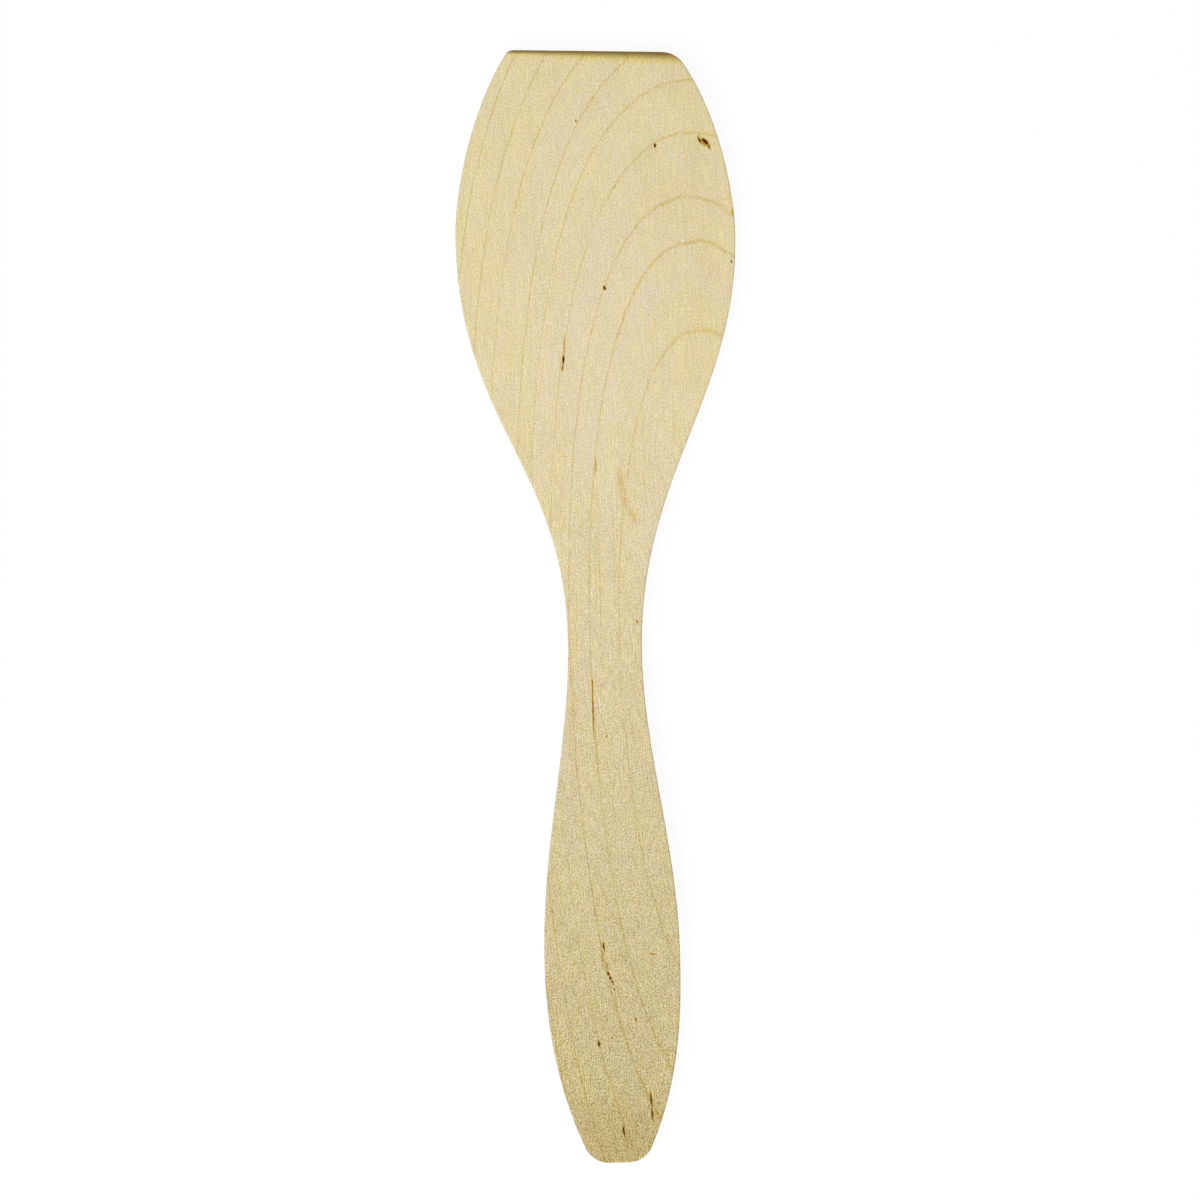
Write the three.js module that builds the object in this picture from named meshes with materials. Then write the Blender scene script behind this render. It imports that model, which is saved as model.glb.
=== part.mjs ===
// A one-piece wooden spatula: a flat birch blank sawn to its outline, planed thinner under the
// blade towards the tip, rolled over at the tip and sanded round along its other edges.
// Sizes are in millimetres and angles in degrees. The spatula lies on its underside, with +Z up,
// +Y towards the tip of the blade and +X to the right as seen from above. The origin is at the
// level of the underside, below the middle of the bounding box.

import * as THREE from 'three';

// Places along the spatula
const length = 300;
const bladeWidestFromTip = 51;
const neckFromTip = 161.2;
const handleWidestFromButt = 54.9;
const planedFromTip = 95;

// Widths, at the tip and the butt between the corners as they were before rounding
const tipWidth = 44.5;
const bladeWidth = 75.3;
const neckWidth = 19.8;
const handleWidth = 36.5;
const buttWidth = 14.3;

// Thicknesses
const blankThickness = 7;
const tipThickness = 4.2;

// Angles between the sides and the long axis, just past the corners
const tipFlare = 33.2;
const buttTaper = 23.6;

// How long a side keeps its direction at each place, as a share of its run to the next place
const tipPull = 0.34;
const bladePullToTip = 0.28;
const bladePullToNeck = 0.425;
const neckPullToBlade = 0.43;
const neckPullToHandle = 0.33;
const handlePullToNeck = 0.37;
const handlePullToButt = 0.275;
const buttPull = 0.41;

// Corners of the outline
const tipCornerLeft = 3;
const tipCornerRight = 8.2;
const buttCorner = 7;

// Rounds of the edges: the tip is rolled over on its upper side, more so to the right
const edgeRound = 0.35;
const tipRollLeft = 1.6;
const tipRollRight = 3.5;
const leastTipWall = 0.3;
const roundShareOfWall = 0.45;

// What shaping by hand left out of true: how much nearer the butt the right corner of the tip
// lies, how far the two ends sit to the right of the axis, how far the right side's neck lies
// past the middle of the neck and the left side's before it, and how much longer the left
// shoulder keeps its direction than the right one
const tipDrop = 1.3;
const tipOffset = 0.15;
const buttOffset = 0.55;
const neckSkew = 2.2;
const shoulderSkew = 0.035;

// Fineness of the facets
const rowsInTipRoll = 8;
const rowsInButtCorner = 7;
const rowSpacing = 4;
const stepsInEdgeRound = 3;
const halvings = 40;

const left = { sign: -1, tipCorner: tipCornerLeft, tipRoll: tipRollLeft };
const right = { sign: 1, tipCorner: tipCornerRight, tipRoll: tipRollRight };
const tipY = length / 2;
const buttY = -length / 2;
const forwards = new THREE.Vector2(0, 1);
const backwards = new THREE.Vector2(0, -1);
const quarterTurn = Math.PI / 2;

const radians = THREE.MathUtils.degToRad;
const moved = (point, direction, distance) => point.clone().addScaledVector(direction, distance);
const evenly = (count) => Array.from({ length: count + 1 }, (_, step) => step / count);

// The arc that rounds a corner between two straight directions leading away from it
function cornerArc(corner, from, to, radius) {
  const halfAngle = Math.acos(from.dot(to)) / 2;
  const inwards = from.clone().add(to).normalize();
  const centre = moved(corner, inwards, radius / Math.sin(halfAngle));
  const reach = radius / Math.tan(halfAngle);
  const start = moved(corner, from, reach).sub(centre);
  const end = moved(corner, to, reach).sub(centre);
  const clockwise = start.cross(end) < 0;
  return new THREE.EllipseCurve(centre.x, centre.y, radius, radius, start.angle(), end.angle(), clockwise);
}

// A sweep between two places, which leaves each of them along a given direction
function sweep(start, startDirection, startPull, end, endDirection, endPull) {
  const run = Math.abs(end.y - start.y);
  const startHandle = moved(start, startDirection, startPull * run);
  const endHandle = moved(end, endDirection, endPull * run);
  return new THREE.CubicBezierCurve(start, startHandle, endHandle, end);
}

const tipCornerPoint = (sign) =>
  new THREE.Vector2((sign * tipWidth) / 2 + tipOffset, sign > 0 ? tipY - tipDrop : tipY);
const buttCornerPoint = (sign) => new THREE.Vector2((sign * buttWidth) / 2 + buttOffset, buttY);
const alongTip = tipCornerPoint(1).sub(tipCornerPoint(-1)).normalize();

// One side of the outline, from the end of the tip edge to the end of the butt edge
function sideOutline({ sign, tipCorner }) {
  const flare = radians(tipFlare);
  const taper = radians(buttTaper);
  const acrossTip = alongTip.clone().multiplyScalar(-sign);
  const acrossButt = new THREE.Vector2(-sign, 0);
  const outOfTip = new THREE.Vector2(sign * Math.sin(flare), -Math.cos(flare));
  const outOfButt = new THREE.Vector2(sign * Math.sin(taper), Math.cos(taper));

  const tipArc = cornerArc(tipCornerPoint(sign), acrossTip, outOfTip, tipCorner);
  const buttArc = cornerArc(buttCornerPoint(sign), outOfButt, acrossButt, buttCorner);
  const tip = tipArc.getPoint(1);
  const blade = new THREE.Vector2((sign * bladeWidth) / 2, tipY - bladeWidestFromTip);
  const neck = new THREE.Vector2((sign * neckWidth) / 2, tipY - neckFromTip - sign * neckSkew);
  const handle = new THREE.Vector2((sign * handleWidth) / 2, buttY + handleWidestFromButt);
  const butt = buttArc.getPoint(0);
  const shoulderPull = bladePullToNeck - sign * shoulderSkew;

  const outline = new THREE.CurvePath();
  outline.add(tipArc);
  outline.add(sweep(tip, outOfTip, tipPull, blade, forwards, bladePullToTip));
  outline.add(sweep(blade, backwards, shoulderPull, neck, forwards, neckPullToBlade));
  outline.add(sweep(neck, backwards, neckPullToHandle, handle, forwards, handlePullToNeck));
  outline.add(sweep(handle, backwards, handlePullToButt, butt, outOfButt, buttPull));
  outline.add(buttArc);
  return outline;
}

// The point where a side of the outline, followed from the tip, has come so far behind a line
function pointBehind(outline, origin, direction, distance) {
  let before = 0;
  let behind = 1;
  for (let halving = 0; halving < halvings; halving++) {
    const middle = (before + behind) / 2;
    const reached = outline.getPoint(middle).sub(origin).dot(direction);
    if (reached < distance) before = middle;
    else behind = middle;
  }
  return outline.getPoint(before);
}

// How far planing has lifted the underside: nothing up to the blade, then in one easy curve
function undersideAt(y) {
  const share = Math.max(0, (planedFromTip - (tipY - y)) / planedFromTip);
  return (blankThickness - tipThickness) * share ** 2;
}

// How far a quarter round has lowered a surface at some distance in from the edge
function roundedOff(radius, distance) {
  const short = Math.max(0, radius - distance);
  return radius - Math.sqrt(radius ** 2 - short ** 2);
}

// One end of a row across the spatula: its point on the outline, and the heights of both faces there
function rowEnd(point, fromEnd, upperRound) {
  const top = blankThickness - roundedOff(upperRound, fromEnd);
  const bottom = undersideAt(point.y) + roundedOff(edgeRound, fromEnd);
  return { point, top, bottom };
}

// The rows across the spatula, from tip to butt, each as a left and a right end
function rowsAcross() {
  const behindTip = new THREE.Vector2(alongTip.y, -alongTip.x);
  const tallestRoll = tipThickness - edgeRound - leastTipWall;
  const buttDepth = buttCorner * (1 - Math.sin(radians(buttTaper)));
  const bodyStart = tipDrop + Math.max(tipRollLeft, tipRollRight) + rowSpacing / 2;
  const bodyEnd = length - buttDepth - rowSpacing / 2;
  const bodyRows = Math.ceil((bodyEnd - bodyStart) / rowSpacing);

  const endsOf = (side) => {
    const outline = sideOutline(side);
    const tipEdge = tipCornerPoint(side.sign);
    const tipRoll = Math.min(side.tipRoll, tallestRoll);
    const tipRows = evenly(rowsInTipRoll).map((share) => {
      const fromTip = tipRoll * (1 - Math.cos(share * quarterTurn));
      return rowEnd(pointBehind(outline, tipEdge, behindTip, fromTip), fromTip, tipRoll);
    });
    const straightRow = (fromTip) => {
      const point = pointBehind(outline, new THREE.Vector2(0, tipY), backwards, fromTip);
      return rowEnd(point, length - fromTip, edgeRound);
    };
    const bodyRow = (share) => straightRow(THREE.MathUtils.lerp(bodyStart, bodyEnd, share));
    const buttRows = evenly(rowsInButtCorner).map((share) => {
      const angle = (1 - share) * (quarterTurn - radians(buttTaper));
      return straightRow(length - buttCorner * (1 - Math.cos(angle)));
    });
    return [...tipRows, ...evenly(bodyRows).map(bodyRow), ...buttRows];
  };
  const leftEnds = endsOf(left);
  const rightEnds = endsOf(right);
  return leftEnds.map((leftEnd, row) => ({ leftEnd, rightEnd: rightEnds[row] }));
}

// The edge at one end of a row, from the underside round the wall to the upper face
function edgeProfile({ point, top, bottom }, inwards) {
  const round = Math.min(edgeRound, roundShareOfWall * (top - bottom));
  const profile = [];
  const add = (angle, height) => {
    const place = moved(point, inwards, round * (1 - Math.cos(angle)));
    profile.push(new THREE.Vector3(place.x, place.y, height));
  };
  for (const share of evenly(stepsInEdgeRound)) {
    const angle = (1 - share) * quarterTurn;
    add(angle, bottom + round * (1 - Math.sin(angle)));
  }
  for (const share of evenly(stepsInEdgeRound)) {
    const angle = share * quarterTurn;
    add(angle, top - round * (1 - Math.sin(angle)));
  }
  return profile;
}

// The whole section on a row: up the left edge, across the upper face and down the right edge
function section({ leftEnd, rightEnd }) {
  const across = rightEnd.point.clone().sub(leftEnd.point).normalize();
  const leftEdge = edgeProfile(leftEnd, across);
  const rightEdge = edgeProfile(rightEnd, across.negate());
  return [...leftEdge, ...rightEdge.reverse()];
}

// A closed body through sections with equal numbers of points, whose two ends are laid in strips
function loft(sections) {
  const around = sections[0].length;
  const last = sections.length - 1;
  const triangles = [];
  const vertexAt = (row, place) => row * around + (place % around);
  const addQuad = (a, b, c, d) => triangles.push(a, b, c, a, c, d);

  for (let row = 0; row < last; row++) {
    for (let place = 0; place < around; place++) {
      addQuad(
        vertexAt(row, place),
        vertexAt(row + 1, place),
        vertexAt(row + 1, place + 1),
        vertexAt(row, place + 1),
      );
    }
  }
  for (let place = 0; place < around / 2 - 1; place++) {
    const opposite = around - 1 - place;
    const strip = [place, place + 1, opposite - 1, opposite];
    addQuad(...strip.map((corner) => vertexAt(0, corner)));
    addQuad(...strip.reverse().map((corner) => vertexAt(last, corner)));
  }

  const geometry = new THREE.BufferGeometry();
  const positions = sections.flat().flatMap((vertex) => vertex.toArray());
  geometry.setAttribute('position', new THREE.Float32BufferAttribute(positions, 3));
  geometry.setIndex(triangles);
  geometry.computeVertexNormals();
  return geometry;
}

// Moves the body sideways and lengthways so that the origin lies below the middle of its box
function centreOverOrigin(geometry) {
  geometry.computeBoundingBox();
  const middle = geometry.boundingBox.getCenter(new THREE.Vector3());
  return geometry.translate(-middle.x, -middle.y, 0);
}

const birch = new THREE.MeshStandardMaterial({ color: 0xdfd0a6, roughness: 0.65, metalness: 0 });
const spatula = new THREE.Mesh(centreOverOrigin(loft(rowsAcross().map(section))), birch);
spatula.name = 'spatula';

const group = new THREE.Group();
group.add(spatula);

export default group;
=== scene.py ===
"""A bare birch spatula in one piece, lying on a pale table and seen from straight above.

+Y runs from the butt of the handle to the tip of the blade, +X to the right as seen from above and
+Z up out of the upper face. Shapes are in metres, and the grain of the wood is in millimetres.
"""

import math

import bmesh
import bpy
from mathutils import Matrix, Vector
from mathutils.geometry import interpolate_bezier


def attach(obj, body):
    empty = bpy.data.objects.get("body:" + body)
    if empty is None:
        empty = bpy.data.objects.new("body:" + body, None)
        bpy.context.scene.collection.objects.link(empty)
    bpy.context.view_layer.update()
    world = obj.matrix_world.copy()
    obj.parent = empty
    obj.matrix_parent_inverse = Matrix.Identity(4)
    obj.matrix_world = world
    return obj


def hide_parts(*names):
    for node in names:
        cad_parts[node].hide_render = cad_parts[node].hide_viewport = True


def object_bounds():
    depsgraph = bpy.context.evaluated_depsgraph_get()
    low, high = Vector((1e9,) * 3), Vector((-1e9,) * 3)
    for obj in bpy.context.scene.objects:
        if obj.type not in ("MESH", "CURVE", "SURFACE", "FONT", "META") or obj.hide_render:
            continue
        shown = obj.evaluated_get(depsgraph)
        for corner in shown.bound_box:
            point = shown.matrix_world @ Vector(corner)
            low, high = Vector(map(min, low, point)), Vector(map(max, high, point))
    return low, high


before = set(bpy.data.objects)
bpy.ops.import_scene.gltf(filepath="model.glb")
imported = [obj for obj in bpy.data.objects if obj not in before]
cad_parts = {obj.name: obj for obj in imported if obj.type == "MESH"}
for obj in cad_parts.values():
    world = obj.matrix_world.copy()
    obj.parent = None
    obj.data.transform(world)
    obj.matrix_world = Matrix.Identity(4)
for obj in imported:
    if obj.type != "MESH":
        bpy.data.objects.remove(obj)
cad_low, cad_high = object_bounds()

MM = 0.001

# Places along the spatula
LENGTH = 300 * MM
BLADE_WIDEST_FROM_TIP = 51 * MM
NECK_FROM_TIP = 161.2 * MM
HANDLE_WIDEST_FROM_BUTT = 54.9 * MM
PLANED_FROM_TIP = 95 * MM

# Widths, at the tip and the butt between the corners as they were before rounding
TIP_WIDTH = 44.5 * MM
BLADE_WIDTH = 75.3 * MM
NECK_WIDTH = 19.8 * MM
HANDLE_WIDTH = 36.5 * MM
BUTT_WIDTH = 14.3 * MM

# Thickness of the planed blade at its tip, and of the blank everywhere else
TIP_THICKNESS = 4.2 * MM
BLANK_THICKNESS = cad_high.z - cad_low.z

# Angles between the sides and the long axis, just past the corners
TIP_FLARE = math.radians(33.2)
BUTT_TAPER = math.radians(23.6)

# How long a side keeps its direction at each place, as a share of its run to the next place
TIP_PULL = 0.34
BLADE_PULL_TO_TIP = 0.28
BLADE_PULL_TO_NECK = 0.425
NECK_PULL_TO_BLADE = 0.43
NECK_PULL_TO_HANDLE = 0.33
HANDLE_PULL_TO_NECK = 0.37
HANDLE_PULL_TO_BUTT = 0.275
BUTT_PULL = 0.41

# Corners of the outline
TIP_CORNER_LEFT = 3 * MM
TIP_CORNER_RIGHT = 8.2 * MM
BUTT_CORNER = 7 * MM

# Rounds of the edges: the tip is rolled over on its upper side, more so to the right
EDGE_ROUND = 0.35 * MM
TIP_ROLL_LEFT = 1.6 * MM
TIP_ROLL_RIGHT = 3.5 * MM

# Radius of the crown of the upper face, across the spatula
CROWN_RADIUS = 1500 * MM

# What shaping by hand left out of true: how much nearer the butt the right corner of the tip lies,
# how far the two ends sit to the right of the axis, how far the right side's neck lies past the middle
# of the neck and the left side's before it, and how much longer the left shoulder keeps its direction
TIP_DROP = 1.3 * MM
TIP_OFFSET = 0.15 * MM
BUTT_OFFSET = 0.55 * MM
NECK_SKEW = 2.2 * MM
SHOULDER_SKEW = 0.035

# Fineness of the body
ARC_STEPS = 12
SWEEP_POINTS = 40
ROUND_SEGMENTS = 4
FLAT_MARGIN = 0.4 * MM
ROLL_CUTS = 6
CROSS_CUTS = 56
CROWN_CUTS = 4
CROWN_STEP = 8 * MM
CUT_REACH = 0.001 * MM

# What tells the two flat faces from the walls, and later from the four-cornered faces of the rounds
LEVEL_NORMAL = 0.5
QUAD_CORNERS = 4

TIP_Y = LENGTH / 2
BUTT_Y = -LENGTH / 2
FORWARDS = Vector((0, 1))
BACKWARDS = Vector((0, -1))
TIP_LEFT = Vector((TIP_OFFSET - TIP_WIDTH / 2, TIP_Y))
TIP_RIGHT = Vector((TIP_OFFSET + TIP_WIDTH / 2, TIP_Y - TIP_DROP))
ALONG_TIP = (TIP_RIGHT - TIP_LEFT).normalized()
BEHIND_TIP = Vector((ALONG_TIP.y, -ALONG_TIP.x))


def corner_arc(corner, leaving, arriving, radius):
    """Points on the arc that rounds a corner between two directions leading away from it."""
    half_angle = leaving.angle(arriving) / 2
    centre = corner + (leaving + arriving).normalized() * (radius / math.sin(half_angle))
    reach = radius / math.tan(half_angle)
    start = (corner + leaving * reach - centre).normalized()
    end = (corner + arriving * reach - centre).normalized()
    return [centre + start.slerp(end, step / ARC_STEPS) * radius for step in range(ARC_STEPS + 1)]


def sweep(start, start_direction, start_pull, end, end_direction, end_pull):
    """Points on the sweep between two places, which leaves each of them along a given direction."""
    run = abs(end.y - start.y)
    start_handle = start + start_direction * (start_pull * run)
    end_handle = end + end_direction * (end_pull * run)
    return interpolate_bezier(start, start_handle, end_handle, end, SWEEP_POINTS)


def side_outline(sign, tip_point, tip_corner):
    """One side of the outline, from the end of the tip edge to the end of the butt edge."""
    butt_point = Vector((sign * BUTT_WIDTH / 2 + BUTT_OFFSET, BUTT_Y))
    out_of_tip = Vector((sign * math.sin(TIP_FLARE), -math.cos(TIP_FLARE)))
    out_of_butt = Vector((sign * math.sin(BUTT_TAPER), math.cos(BUTT_TAPER)))
    tip_arc = corner_arc(tip_point, ALONG_TIP * -sign, out_of_tip, tip_corner)
    butt_arc = corner_arc(butt_point, out_of_butt, Vector((-sign, 0)), BUTT_CORNER)
    blade = Vector((sign * BLADE_WIDTH / 2, TIP_Y - BLADE_WIDEST_FROM_TIP))
    neck = Vector((sign * NECK_WIDTH / 2, TIP_Y - NECK_FROM_TIP - sign * NECK_SKEW))
    handle = Vector((sign * HANDLE_WIDTH / 2, BUTT_Y + HANDLE_WIDEST_FROM_BUTT))
    shoulder_pull = BLADE_PULL_TO_NECK - sign * SHOULDER_SKEW
    return [
        *tip_arc[:-1],
        *sweep(tip_arc[-1], out_of_tip, TIP_PULL, blade, FORWARDS, BLADE_PULL_TO_TIP)[:-1],
        *sweep(blade, BACKWARDS, shoulder_pull, neck, FORWARDS, NECK_PULL_TO_BLADE)[:-1],
        *sweep(neck, BACKWARDS, NECK_PULL_TO_HANDLE, handle, FORWARDS, HANDLE_PULL_TO_NECK)[:-1],
        *sweep(handle, BACKWARDS, HANDLE_PULL_TO_BUTT, butt_arc[0], out_of_butt, BUTT_PULL)[:-1],
        *butt_arc,
    ]


def cut_across(body, place, along):
    """Adds a row of edges where an upright plane through a place crosses the body."""
    geometry = [*body.verts, *body.edges, *body.faces]
    normal = (-along.y, along.x, 0)
    bmesh.ops.bisect_plane(
        body, geom=geometry, dist=CUT_REACH, plane_co=(*place, 0), plane_no=normal,
    )


def sawn_blank():
    """The flat blank, sawn to the outline and sanded round along the edges of both faces."""
    left = side_outline(-1, TIP_LEFT, TIP_CORNER_LEFT)
    right = side_outline(1, TIP_RIGHT, TIP_CORNER_RIGHT)
    body = bmesh.new()
    underside = body.faces.new([body.verts.new((*point, 0)) for point in left + right[::-1]])
    raised = bmesh.ops.extrude_face_region(body, geom=[underside], use_keep_orig=True)
    upper = [item for item in raised["geom"] if isinstance(item, bmesh.types.BMVert)]
    bmesh.ops.translate(body, verts=upper, vec=(0, 0, BLANK_THICKNESS))
    bmesh.ops.recalc_face_normals(body, faces=body.faces)

    level = [face for face in body.faces if abs(face.normal.z) > LEVEL_NORMAL]
    rims = {edge for face in level for edge in face.edges}
    bmesh.ops.bevel(
        body, geom=list(rims), offset=EDGE_ROUND, affect="EDGES",
        segments=ROUND_SEGMENTS, profile=0.5, material=-1,
    )
    flats = [face for face in body.faces if len(face.verts) > QUAD_CORNERS]
    bmesh.ops.inset_individual(body, faces=flats, thickness=FLAT_MARGIN, use_even_offset=True)
    return body


def rounded_off(radius, distance):
    """How far a quarter round has lowered a surface at some distance in from the edge."""
    short = max(0, radius - distance)
    return radius - math.sqrt(radius**2 - short**2)


def shape_faces(body):
    """Planes the blade thinner from below, rolls its tip over and crowns the upper face."""
    for cut in range(1, ROLL_CUTS + 1):
        share = cut / ROLL_CUTS
        ends = []
        for point, roll in ((TIP_LEFT, TIP_ROLL_LEFT), (TIP_RIGHT, TIP_ROLL_RIGHT)):
            behind = EDGE_ROUND + FLAT_MARGIN + (roll - EDGE_ROUND - FLAT_MARGIN) * share
            ends.append(point + BEHIND_TIP * behind)
        cut_across(body, ends[0], ends[1] - ends[0])
    for cut in range(1, CROSS_CUTS):
        cut_across(body, Vector((0, TIP_Y - LENGTH * cut / CROSS_CUTS)), Vector((1, 0)))
    for cut in range(-CROWN_CUTS, CROWN_CUTS + 1):
        cut_across(body, Vector((CROWN_STEP * cut, 0)), FORWARDS)

    for vert in body.verts:
        place = vert.co.xy
        height = vert.co.z / BLANK_THICKNESS
        across = min(1, max(0, (place - TIP_LEFT).dot(ALONG_TIP) / TIP_WIDTH))
        roll = TIP_ROLL_LEFT + (TIP_ROLL_RIGHT - TIP_ROLL_LEFT) * across
        behind = max(0, (place - TIP_LEFT).dot(BEHIND_TIP))
        planed = max(0, 1 - (TIP_Y - place.y) / PLANED_FROM_TIP) ** 2
        top = BLANK_THICKNESS - rounded_off(roll, behind) - place.x**2 / (2 * CROWN_RADIUS)
        bottom = (BLANK_THICKNESS - TIP_THICKNESS) * planed
        vert.co.z = bottom + (top - bottom) * height


def birch_spatula(finish):
    """The spatula as one smooth piece, laid over the middle of its place in the frame."""
    body = sawn_blank()
    shape_faces(body)
    low = Vector(min(vert.co[axis] for vert in body.verts) for axis in range(3))
    high = Vector(max(vert.co[axis] for vert in body.verts) for axis in range(3))
    middle = (cad_low + cad_high - low - high) / 2
    bmesh.ops.translate(body, verts=body.verts, vec=(middle.x, middle.y, cad_low.z - low.z))
    for face in body.faces:
        face.smooth = True
    mesh = bpy.data.meshes.new("birch_spatula")
    body.to_mesh(mesh)
    body.free()
    mesh.materials.append(finish)
    piece = bpy.data.objects.new("birch_spatula", mesh)
    bpy.context.collection.objects.link(piece)
    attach(piece, "root")
    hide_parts("spatula")


# Turn of the textures in radians, which keeps their lattice out of line with the grain, and their
# middle value
LATTICE_TURN = (0, 0, 0.5)
MID_GREY = 0.5

# Sockets of a Mix node for colours
MIX_FACTOR = 0
MIX_FIRST = 6
MIX_SECOND = 7
MIX_RESULT = 2


class Shade:
    """A socket in a node tree. Arithmetic on values adds Math nodes to the tree."""

    def __init__(self, socket):
        self.socket = socket
        self.tree = socket.id_data

    def node(self, kind, settings, inputs, output=0):
        """Adds any other node: its settings first, then the values or links of its sockets."""
        made = self.tree.nodes.new(kind)
        for name, setting in settings.items():
            setattr(made, name, setting)
        for name, value in inputs.items():
            if isinstance(value, Shade):
                self.tree.links.new(value.socket, made.inputs[name])
            else:
                made.inputs[name].default_value = value
        return Shade(made.outputs[output]) if made.outputs else None

    def math(self, operation, *operands):
        """Adds a Math node."""
        return self.node("ShaderNodeMath", {"operation": operation}, dict(enumerate(operands)))

    def __add__(self, other):
        return self.math("ADD", self, other)

    def __radd__(self, other):
        return self.math("ADD", other, self)

    def __sub__(self, other):
        return self.math("SUBTRACT", self, other)

    def __rsub__(self, other):
        return self.math("SUBTRACT", other, self)

    def __mul__(self, other):
        return self.math("MULTIPLY", self, other)

    def __rmul__(self, other):
        return self.math("MULTIPLY", other, self)

    def __truediv__(self, other):
        return self.math("DIVIDE", self, other)

    def __pow__(self, other):
        return self.math("POWER", self, other)

    def at_most(self, other):
        return self.math("MINIMUM", self, other)

    def at_least(self, other):
        return self.math("MAXIMUM", self, other)

    def ramp(self, start, end):
        """0 at the start and 1 at the end, straight between them and level past them."""
        inputs = {"Value": self, "From Min": start, "From Max": end}
        return self.node("ShaderNodeMapRange", {}, inputs)

    def ease(self, start, end):
        """As ramp, but with an easy curve between the two."""
        inputs = {"Value": self, "From Min": start, "From Max": end}
        return self.node("ShaderNodeMapRange", {"interpolation_type": "SMOOTHSTEP"}, inputs)

    def graded(self, first, last):
        """A value that goes over from the first to the last as this one goes from 0 to 1."""
        return self * (last - first) + first

    def parts(self):
        """The three values of a vector."""
        separate = self.node("ShaderNodeSeparateXYZ", {}, {"Vector": self}).socket.node
        return [Shade(output) for output in separate.outputs]

    def times(self, vector):
        """A vector with each of its parts multiplied."""
        settings = {"operation": "MULTIPLY"}
        return self.node("ShaderNodeVectorMath", settings, {0: self, 1: vector})

    def brightened(self, factor):
        """A colour that is as many times as bright."""
        settings = {"operation": "SCALE"}
        return self.node("ShaderNodeVectorMath", settings, {0: self, "Scale": factor})

    def between(self, first, second):
        """A colour that goes over from the first to the second as this value goes from 0 to 1."""
        inputs = {MIX_FACTOR: self, MIX_FIRST: first, MIX_SECOND: second}
        return self.node("ShaderNodeMix", {"data_type": "RGBA"}, inputs, MIX_RESULT)

    def staining(self, colour, stain):
        """A colour that is multiplied by a stain where this value is 1."""
        settings = {"data_type": "RGBA", "blend_type": "MULTIPLY"}
        inputs = {MIX_FACTOR: self, MIX_FIRST: colour, MIX_SECOND: stain}
        return self.node("ShaderNodeMix", settings, inputs, MIX_RESULT)

    def tinted(self, place, size, depth):
        """A colour whose red, green and blue each drift to both sides, by a given depth in all."""
        settings = {"operation": "MULTIPLY_ADD"}
        inputs = {0: place.drift(size), 1: depth, 2: [1 - share / 2 for share in depth]}
        return self.times(self.node("ShaderNodeVectorMath", settings, inputs))

    def texture(self, kind, size, output, **inputs):
        """A texture at this place in the wood, with features of a given size along each axis."""
        scale = [1 / length for length in size]
        mapping = {"Vector": self, "Rotation": LATTICE_TURN, "Scale": scale}
        inputs |= {"Vector": self.node("ShaderNodeMapping", {}, mapping), "Scale": 1.0}
        return self.node(kind, {}, inputs, output)

    def clouds(self, size, detail=0.0):
        """Soft noise round 0."""
        return self.texture("ShaderNodeTexNoise", size, "Fac", Detail=detail) - MID_GREY

    def drift(self, size):
        """Soft noise as a colour round mid grey."""
        return self.texture("ShaderNodeTexNoise", size, "Color", Detail=1.0)

    def scattered(self, size):
        """How far it is to the nearest of many scattered points, in cells."""
        return self.texture("ShaderNodeTexVoronoi", size, "Distance")


# Colours of the wood, as red, green and blue light
BLADE_WOOD = (0.884, 0.776, 0.515, 1)
BUTT_WOOD = (0.746, 0.656, 0.379, 1)
HEART_STAIN = (1.0, 0.985, 0.92, 1)
OUTER_STAIN = (1.0, 0.99, 0.91, 1)
GRAIN_STAIN = (0.37, 0.30, 0.11, 1)
RING_STAIN = (0.77, 0.65, 0.20, 1)
STREAK_STAIN = (0.94, 0.88, 0.72, 1)
# Yellowed end grain along the tip, which also carries painted shade on the rolled tip
TIP_YELLOW_AND_SHADE = (1.0, 0.96, 0.68, 1)
# Darker end grain, and on the tip also painted shade of the roll that faces away from the lamp
END_GRAIN_AND_SHADE_STAIN = (0.63, 0.50, 0.26, 1)
BUTT_STAIN = (0.93, 0.895, 0.825, 1)
HALO_STAIN = (0.88, 0.755, 0.45, 1)
RIM_STAIN = (0.70, 0.515, 0.20, 1)
FLECK_BROWN = (0.125, 0.048, 0.001, 1)
FLECK_BLACK = (0.020, 0.006, 0.001, 1)

# Where the wood starts to turn darker towards the butt and where it has turned, in millimetres along
# the spatula, and the power that holds the turn back
TURN_START = 60
TURN_END = -150
TURN_EASE = 1.25

# Sizes of what the grain is made of: across the spatula, along it and through it, in millimetres
FIBRE_SIZE = (0.24, 0.47, 0.24)
THREAD_SIZE = (0.24, 3, 0.5)
STRAND_SIZE = (0.28, 6, 0.28)
PORE_SPACING = (0.8, 3.2, 0.8)
MOTTLE_SIZE = (7, 22, 7)
STREAK_SIZE = (0.3, 45, 0.3)

# How much of the grain and the ring lines shows on the blade, and at the butt
FIBRE_CONTRAST = (0.78, 1.82)
GRAIN_DEPTH = (0.235, 0.485)
THREAD_DEPTH = (0.27, 0.42)
STRAND_DEPTH = (0.3, 0.45)
RING_DEPTH = (0.75, 1.05)

# How much shows all over, or only in the place that is named, and the edge of a pore
FIBRE_DEPTH = 1.06
NECK_THREADS = 0.2
BUTT_PORES = 0.38
PORE_EDGE = (0.24, 0.1)
MOTTLE_DEPTH = 0.10
BRIGHTNESS = 1.01

# Long streaks: where they start in their noise and where they are full, and how much of them shows
# away from the neck, and on it
STREAK_EDGE = (0.1, 0.3)
STREAK_DEPTH = (0.2, 1.0)

# Where the neck begins, from the handle and from the blade, and where the butt darkens, in millimetres
NECK_FROM_HANDLE = (-75, -20)
NECK_FROM_BLADE = (70, 20)
BUTT_DARKENS = (-126, -143)
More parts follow.
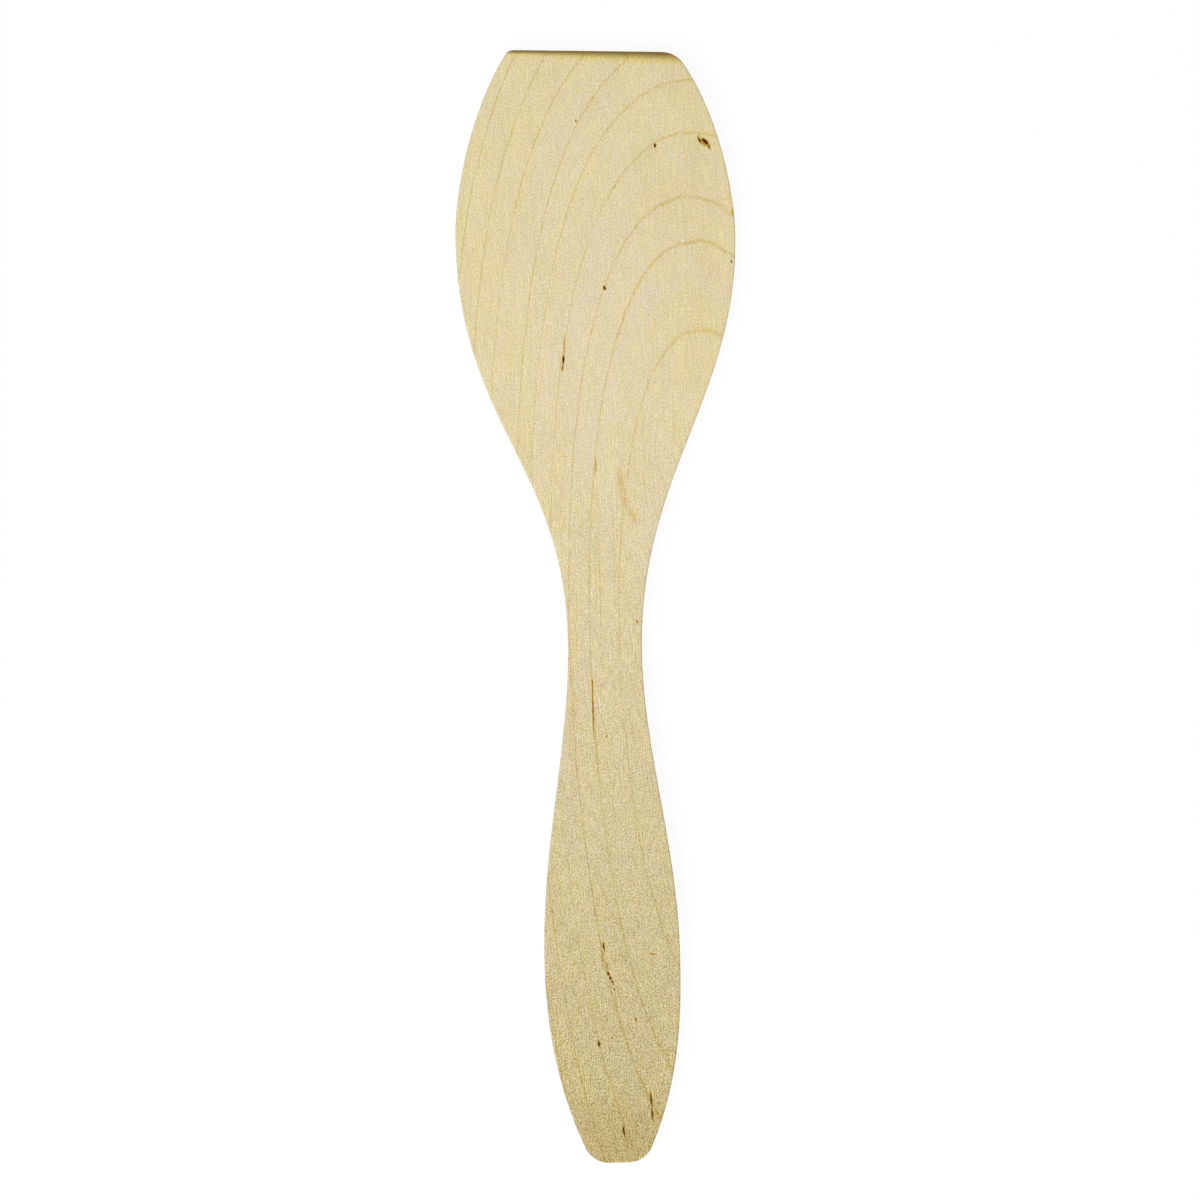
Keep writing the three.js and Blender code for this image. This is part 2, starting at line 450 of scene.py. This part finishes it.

# The yellow band along the tip, partly yellowed end grain and partly painted shade of the roll, which
# faces away from the lamp: its edge behind the roll, and how far that edge waves, in millimetres
TIP_BAND_EDGE = (2.7, 1.1)
TIP_BAND_WAVE = 2
TIP_BAND_WAVE_SIZE = (4, 3, 4)

# End grain, by how far the surface faces the tip, or the butt below 0; towards the tip it is also
# painted shade, as the roll there faces away from the lamp
TIP_END_GRAIN_AND_SHADE = (0.08, 0.9)
BUTT_END_GRAIN = (-0.75, -1)

# Tints that drift through the wood: size of their patches, and depth in red, green and blue
LAYER_TINT = ((2.5, 60, 30), (0.06, 0.06, 0.20))
BROAD_TINT = ((6, 14, 6), (0.05, 0.05, 0.20))
FINE_TINT = ((1.5, 3, 1.5), (0.03, 0.03, 0.35))

# How rough the sanded wood is in its palest and in its darkest grain, its gloss and its relief
ROUGHNESS = (0.60, 0.75)
GLOSS = 0.12
RELIEF_STRENGTH = 0.25
RELIEF_HEIGHT = 0.1 * MM
STRAND_RELIEF = 0.5
GRAIN_RELIEF = 0.3

# The tree's pith below the upper face, in millimetres at the middle of the spatula, and how its place
# changes with the first, second and third power of the way towards the tip in steps of 100 mm
PITH_STEP = 100
PITH_X = (26.8, -1.76, -1.42)
PITH_DEPTH = (40, 2.561, 9.357, 0.713)

# Height of the upper face, in millimetres
UPPER_FACE = BLANK_THICKNESS / MM

# Growth rings: radius above the pith and how much more it is far to the right, in millimetres, and how
# dark the line at the ring's edge is
RINGS = (
    (34.3, 1.9, 0.9),
    (38.7, 1.9, 0.9),
    (41.0, 1.9, 0.9),
    (46.95, 1.9, 0.8),
    (51.7, 2.1, 1.1),
    (54.65, 1.1, 1.05),
    (59.35, 2.9, 0.92),
    (63.75, 3.3, 0.92),
    (67.95, 4.9, 1.25),
    (70.55, 0.5, 1.1),
    (74.35, 0.0, 1.1),
    (78.15, -0.7, 1.25),
)

# Half width of the line at a ring's edge, in millimetres
RING_EDGE = 0.18

# Bends in the rings: how far they reach and their size along the three axes, in millimetres, and
# their detail
RING_BENDS = (
    (0.3, (16, 50, 16), 1),
    (0.2, (3, 10, 3), 0),
    (0.1, (0.5, 2.5, 0.5), 0),
)

# Sizes of the stretches in which ring lines fade and break, how strongly they break, and the range
# in which they go from gone to full
LINE_FADE_SIZE = (5, 22, 5)
LINE_BREAK_SIZE = (0.35, 1.5, 0.35)
LINE_BREAKS = 1.7
LINE_RANGE = (-0.55, 0.25)

# Where the outer wood comes in, by the ring's radius, and the heartwood, by the way to the pith
OUTER_RADIUS = (56, 76)
HEART_LEAN = (-0.45, 0.1)

# Pith flecks and bark specks near the upper face: x and y, half length and half width in millimetres,
# lean to the right towards the butt in degrees, and darkness
FLECKS = (
    (30.05, 124.05, 1.05, 0.48, 46, 1.0),
    (28.65, 124.45, 0.90, 0.22, 28, 0.95),
    (31.15, 122.5, 0.65, 0.20, 22, 0.95),
    (29.9, 123.5, 1.60, 0.62, 68, 0.34),
    (28.5, 125.6, 0.50, 0.35, 0, 0.16),
    (16.6, 123.3, 0.60, 0.26, 5, 0.95),
    (36.5, 91.6, 0.35, 0.20, 0, 0.8),
    (37.2, 105.2, 0.95, 0.28, 3, 0.32),
    (2.2, 85.2, 0.55, 0.32, 10, 0.9),
    (5.5, 112.3, 0.45, 0.16, -18, 0.25),
    (-7.7, 104.8, 0.35, 0.18, -10, 0.18),
    (-4.5, 130.3, 0.40, 0.16, 0, 0.5),
    (-9.0, 69.9, 2.60, 0.22, -1, 0.27),
    (-9.3, 66.2, 1.10, 0.25, -3, 1.0),
    (-9.6, 64.1, 0.90, 0.24, -6, 0.6),
    (-1.3, 37.4, 2.10, 0.18, 0, 0.28),
    (5.1, 33.3, 4.60, 1.15, 2, 0.108),
    (6.2, 27.7, 2.90, 1.15, 28, 0.102),
    (8.2, 23.9, 2.70, 1.10, 22, 0.113),
    (8.8, -4.6, 0.22, 0.45, -60, 0.4),
    (-3.5, -21.2, 1.40, 0.18, 2, 0.5),
    (-3.6, -28.0, 6.50, 0.16, 0, 0.54),
    (-0.1, -35.3, 0.35, 0.20, 0, 0.5),
    (-2.2, -91.8, 1.05, 0.24, 8, 0.9),
    (-2.6, -95.2, 2.20, 0.17, 3, 0.33),
    (-1.5, -96.8, 1.00, 0.18, 12, 0.33),
    (-1.1, -99.0, 0.65, 0.28, 18, 0.85),
    (-0.6, -100.3, 0.55, 0.24, 20, 1.0),
    (-0.1, -101.4, 0.70, 0.22, 24, 0.6),
    (0.4, -103.3, 0.35, 0.20, 15, 0.8),
    (10.9, -94.0, 0.85, 0.18, 82, 0.45),
    (-4.1, -117.9, 0.55, 0.30, 8, 1.0),
    (9.6, -133.0, 1.45, 0.23, 6, 0.9),
    (9.8, -137.0, 1.60, 0.24, 6, 0.72),
    (10.6, -137.6, 2.00, 0.50, 24, 0.09),
    (2.0, -141.5, 1.10, 0.24, 8, 1.0),
    (2.8, -144.4, 2.20, 0.22, 15, 0.2),
    (5.9, -111.6, 0.40, 0.24, 0, 0.55),
    (-0.6, -116.3, 0.30, 0.20, 0, 0.6),
    (-4.5, -82.3, 1.30, 0.18, 4, 0.2),
    (1.2, -85.6, 0.35, 0.22, 0, 0.3),
)

# How deep a fleck reaches, in millimetres, and where its darkness starts and where it is full, as a
# share of its half length and half width
FLECK_DEPTH = 1.5
FLECK_EDGE = (1.7, 0.3)

# How far the jags of the flecks reach, and their size, in millimetres
FLECK_RAG = (0.4, 0.8, 0.4)
FLECK_RAG_SIZE = (0.5, 1.0, 0.5)

# Ranges of darkness in which a fleck's halo, its rim, its brown bark and its black heart come in
HALO_RANGE = (0.02, 0.16)
RIM_RANGE = (0.12, 0.38)
BROWN_RANGE = (0.35, 0.65)
BLACK_RANGE = (0.75, 1)


def ring_place(place):
    """Distance to the tree's pith, and the way there: -1 on the left of the pith, 1 on its right."""
    x, y, z = place.parts()
    along = y / PITH_STEP
    pith_x = (PITH_X[2] * along + PITH_X[1]) * along + PITH_X[0]
    depth = (PITH_DEPTH[3] * along + PITH_DEPTH[2]) * along + PITH_DEPTH[1]
    depth = depth * along + PITH_DEPTH[0]
    sideways = x - pith_x
    upwards = z - UPPER_FACE + depth
    radius = (sideways * sideways + upwards * upwards) ** 0.5
    lean = sideways / radius
    for reach, size, detail in RING_BENDS:
        radius = radius + reach * place.clouds(size, detail)
    return radius, lean


def ring_lines(radius, lean):
    """How dark the lines between the growth rings are: about 1 in the middle of a line."""
    darkest = 0
    for ring, widening, darkness in RINGS:
        past = radius - lean * widening - ring
        line = past.math("ABSOLUTE", past).ramp(RING_EDGE, 0)
        darkest = (line * darkness).at_least(darkest)
    return darkest


def fleck_darkness(place):
    """How dark the flecks are: 1 in the heart of a bark speck."""
    jags = place.drift(FLECK_RAG_SIZE)
    inputs = {0: jags, 1: [MID_GREY] * 3}
    shift = place.node("ShaderNodeVectorMath", {"operation": "SUBTRACT"}, inputs)
    inputs = {0: shift, 1: FLECK_RAG, 2: place}
    bent = place.node("ShaderNodeVectorMath", {"operation": "MULTIPLY_ADD"}, inputs)
    deepest = 0
    for x, y, half_length, half_width, lean, darkness in FLECKS:
        inputs = {
            "Vector": bent,
            "Location": (x, y, UPPER_FACE),
            "Rotation": (0, 0, math.radians(lean)),
            "Scale": (half_width, half_length, FLECK_DEPTH),
        }
        inside = place.node("ShaderNodeMapping", {"vector_type": "TEXTURE"}, inputs)
        away = place.node("ShaderNodeVectorMath", {"operation": "LENGTH"}, {0: inside}, "Value")
        deepest = (away.ease(*FLECK_EDGE) * darkness).at_least(deepest)
    return deepest


def bare_birch():
    """Bare, fine-sanded birch: solid grain with rings, fibres, pores and flecks, and painted shade on
    the rolled tip.
    """
    material = bpy.data.materials.new("bare_birch")
    material.use_nodes = True
    tree = material.node_tree
    tree.nodes.clear()
    coordinates = tree.nodes.new("ShaderNodeTexCoord")
    place = Shade(coordinates.outputs["Object"]).times([1 / MM] * 3)
    facing = Shade(coordinates.outputs["Normal"])

    x, y, z = place.parts()
    turned = y.ramp(TURN_START, TURN_END) ** TURN_EASE
    neck = y.ease(*NECK_FROM_HANDLE) * y.ease(*NECK_FROM_BLADE)
    below_face = z - UPPER_FACE + x * x / (2 * CROWN_RADIUS / MM)
    skin = place.node("ShaderNodeCombineXYZ", {}, {"X": x, "Y": y, "Z": below_face})
    thread_depth = turned.graded(*THREAD_DEPTH) + neck * NECK_THREADS
    fibre = FIBRE_DEPTH * skin.clouds(FIBRE_SIZE) + skin.clouds(THREAD_SIZE) * thread_depth
    grain = fibre * turned.graded(*FIBRE_CONTRAST) + turned.graded(*GRAIN_DEPTH)
    strand = place.clouds(STRAND_SIZE, detail=1) * turned.graded(*STRAND_DEPTH)
    pore = place.scattered(PORE_SPACING).ease(*PORE_EDGE) * (turned * BUTT_PORES)
    mottle = place.clouds(MOTTLE_SIZE, detail=1)
    streak = place.clouds(STREAK_SIZE).ease(*STREAK_EDGE) * neck.graded(*STREAK_DEPTH)
    radius, lean = ring_place(place)
    layer = place.node("ShaderNodeCombineXYZ", {}, {"X": radius, "Y": y, "Z": z})
    fading = place.clouds(LINE_FADE_SIZE, detail=1)
    breaking = LINE_BREAKS * place.clouds(LINE_BREAK_SIZE, detail=1)
    kept_line = (fading + breaking).ramp(*LINE_RANGE)
    ring_line = ring_lines(radius, lean) * kept_line * turned.graded(*RING_DEPTH)
    fleck = fleck_darkness(place)
    roll_slant = (TIP_DROP + TIP_ROLL_RIGHT - TIP_ROLL_LEFT) / TIP_WIDTH
    behind_tip = TIP_Y / MM - y - (x + TIP_WIDTH / MM / 2) * roll_slant
    behind_tip = behind_tip + TIP_BAND_WAVE * place.clouds(TIP_BAND_WAVE_SIZE, detail=1)
    lengthways = facing.parts()[1]
    # How far the surface faces the tip or the butt; towards the tip this also places painted shade
    end_grain_and_shade = lengthways.ease(*TIP_END_GRAIN_AND_SHADE).at_least(lengthways.ease(*BUTT_END_GRAIN))

    wood = turned.between(BLADE_WOOD, BUTT_WOOD)
    wood = radius.ramp(*OUTER_RADIUS).staining(wood, OUTER_STAIN)
    wood = lean.ease(*HEART_LEAN).staining(wood, HEART_STAIN)
    wood = wood.tinted(layer, *LAYER_TINT)
    wood = wood.tinted(place, *BROAD_TINT)
    wood = wood.tinted(place, *FINE_TINT)
    wood = wood.brightened(strand + mottle * MOTTLE_DEPTH + BRIGHTNESS)
    wood = (grain + pore).staining(wood, GRAIN_STAIN)
    wood = streak.staining(wood, STREAK_STAIN)
    wood = ring_line.staining(wood, RING_STAIN)
    # Painted shade on the rolled tip, with yellowed end grain: a yellower, darker band along the tip
    wood = behind_tip.ease(*TIP_BAND_EDGE).staining(wood, TIP_YELLOW_AND_SHADE)
    # Darker end grain, which on the tip is also painted shade of the roll that faces away from the
    # lamp
    wood = end_grain_and_shade.staining(wood, END_GRAIN_AND_SHADE_STAIN)
    wood = y.ease(*BUTT_DARKENS).staining(wood, BUTT_STAIN)
    wood = fleck.ease(*HALO_RANGE).staining(wood, HALO_STAIN)
    wood = fleck.ease(*RIM_RANGE).staining(wood, RIM_STAIN)
    wood = fleck.ease(*BROWN_RANGE).between(wood, FLECK_BROWN)
    wood = fleck.ease(*BLACK_RANGE).between(wood, FLECK_BLACK)

    height = strand * STRAND_RELIEF - grain * GRAIN_RELIEF - pore
    inputs = {"Strength": RELIEF_STRENGTH, "Distance": RELIEF_HEIGHT, "Height": height}
    relief = place.node("ShaderNodeBump", {}, inputs)
    inputs = {
        "Base Color": wood,
        "Roughness": grain.graded(*ROUGHNESS),
        "Specular IOR Level": GLOSS,
        "Normal": relief,
    }
    surface = place.node("ShaderNodeBsdfPrincipled", {}, inputs)
    place.node("ShaderNodeOutputMaterial", {}, {"Surface": surface})
    return material


def seen_directly(tree):
    """1 for what is seen, directly or in a gloss or through glass, and 0 for bounced light."""
    rays = tree.nodes.new("ShaderNodeLightPath")
    camera = Shade(rays.outputs["Is Camera Ray"])
    glossy = Shade(rays.outputs["Is Glossy Ray"])
    through = Shade(rays.outputs["Is Transmission Ray"])
    return (camera + glossy + through).at_most(1)


WHITE = (1, 1, 1, 1)

# The table top: its half width, its distance below the spatula, how much light it bounces back and how
# much of the shadow on it shows
FLOOR_REACH = 3
FLOOR_GAP = 0.05 * MM
FLOOR_BOUNCE = 0.5
SHADOW_SHARE = 0.06


def pale_table():
    """A white table top, on which the spatula's shadow stays faint."""
    material = bpy.data.materials.new("white_table")
    material.use_nodes = True
    tree = material.node_tree
    tree.nodes.clear()
    seen = seen_directly(tree)
    matt = seen.node("ShaderNodeBsdfDiffuse", {}, {"Color": seen.graded(FLOOR_BOUNCE, 1)})
    white = seen.node("ShaderNodeEmission", {}, {"Color": WHITE, "Strength": 1})
    inputs = {0: seen * (1 - SHADOW_SHARE), 1: matt, 2: white}
    surface = seen.node("ShaderNodeMixShader", {}, inputs)
    seen.node("ShaderNodeOutputMaterial", {}, {"Surface": surface})

    top = bmesh.new()
    bmesh.ops.create_grid(top, x_segments=1, y_segments=1, size=FLOOR_REACH)
    bmesh.ops.translate(top, verts=top.verts, vec=(0, 0, cad_low.z - FLOOR_GAP))
    mesh = bpy.data.meshes.new("table")
    top.to_mesh(mesh)
    top.free()
    mesh.materials.append(material)
    table = bpy.data.objects.new("table", mesh)
    bpy.context.collection.objects.link(table)


# The lamp: the way to it, its distance and size in metres and its power in watts, and the light of the
# room beside it
LAMP_TOWARDS = Vector((-0.36, -0.47, 0.81))
LAMP_DISTANCE = 2.2
LAMP_SIZE = 1.1
LAMP_POWER = 46
ROOM_LIGHT = 0.3


def studio_light():
    """A soft lamp, high to the left of the handle, in a dim even room."""
    lamp = bpy.data.lights.new("soft_lamp", "AREA")
    lamp.size = LAMP_SIZE
    lamp.energy = LAMP_POWER
    stand = bpy.data.objects.new("soft_lamp", lamp)
    stand.location = LAMP_TOWARDS.normalized() * LAMP_DISTANCE
    stand.rotation_euler = LAMP_TOWARDS.to_track_quat("Z", "Y").to_euler()
    bpy.context.collection.objects.link(stand)

    room = bpy.data.worlds.new("room")
    room.use_nodes = True
    tree = room.node_tree
    tree.nodes.clear()
    seen = seen_directly(tree)
    inputs = {"Color": WHITE, "Strength": seen.graded(ROOM_LIGHT, 1)}
    light = seen.node("ShaderNodeBackground", {}, inputs)
    seen.node("ShaderNodeOutputWorld", {}, {"Surface": light})
    bpy.context.scene.world = room


# The camera: focal length and width of its sensor in millimetres, and its turn, place and height above
# the upper face
CAMERA_LENS = 100
CAMERA_SENSOR = 36
CAMERA_TURN = math.radians(-1.35)
CAMERA_PLACE = (-1.02 * MM, 1.395 * MM)
CAMERA_HEIGHT = 895.95 * MM


def overhead_camera():
    """A camera straight above, turned a little against the spatula."""
    lens = bpy.data.cameras.new("overhead")
    lens.lens = CAMERA_LENS
    lens.sensor_width = CAMERA_SENSOR
    camera = bpy.data.objects.new("overhead", lens)
    camera.location = (*CAMERA_PLACE, cad_high.z + CAMERA_HEIGHT)
    camera.rotation_euler = (0, 0, CAMERA_TURN)
    bpy.context.collection.objects.link(camera)
    bpy.context.scene.camera = camera


overhead_camera()
studio_light()
pale_table()
birch_spatula(bare_birch())
bpy.context.scene.view_settings.view_transform = "Standard"
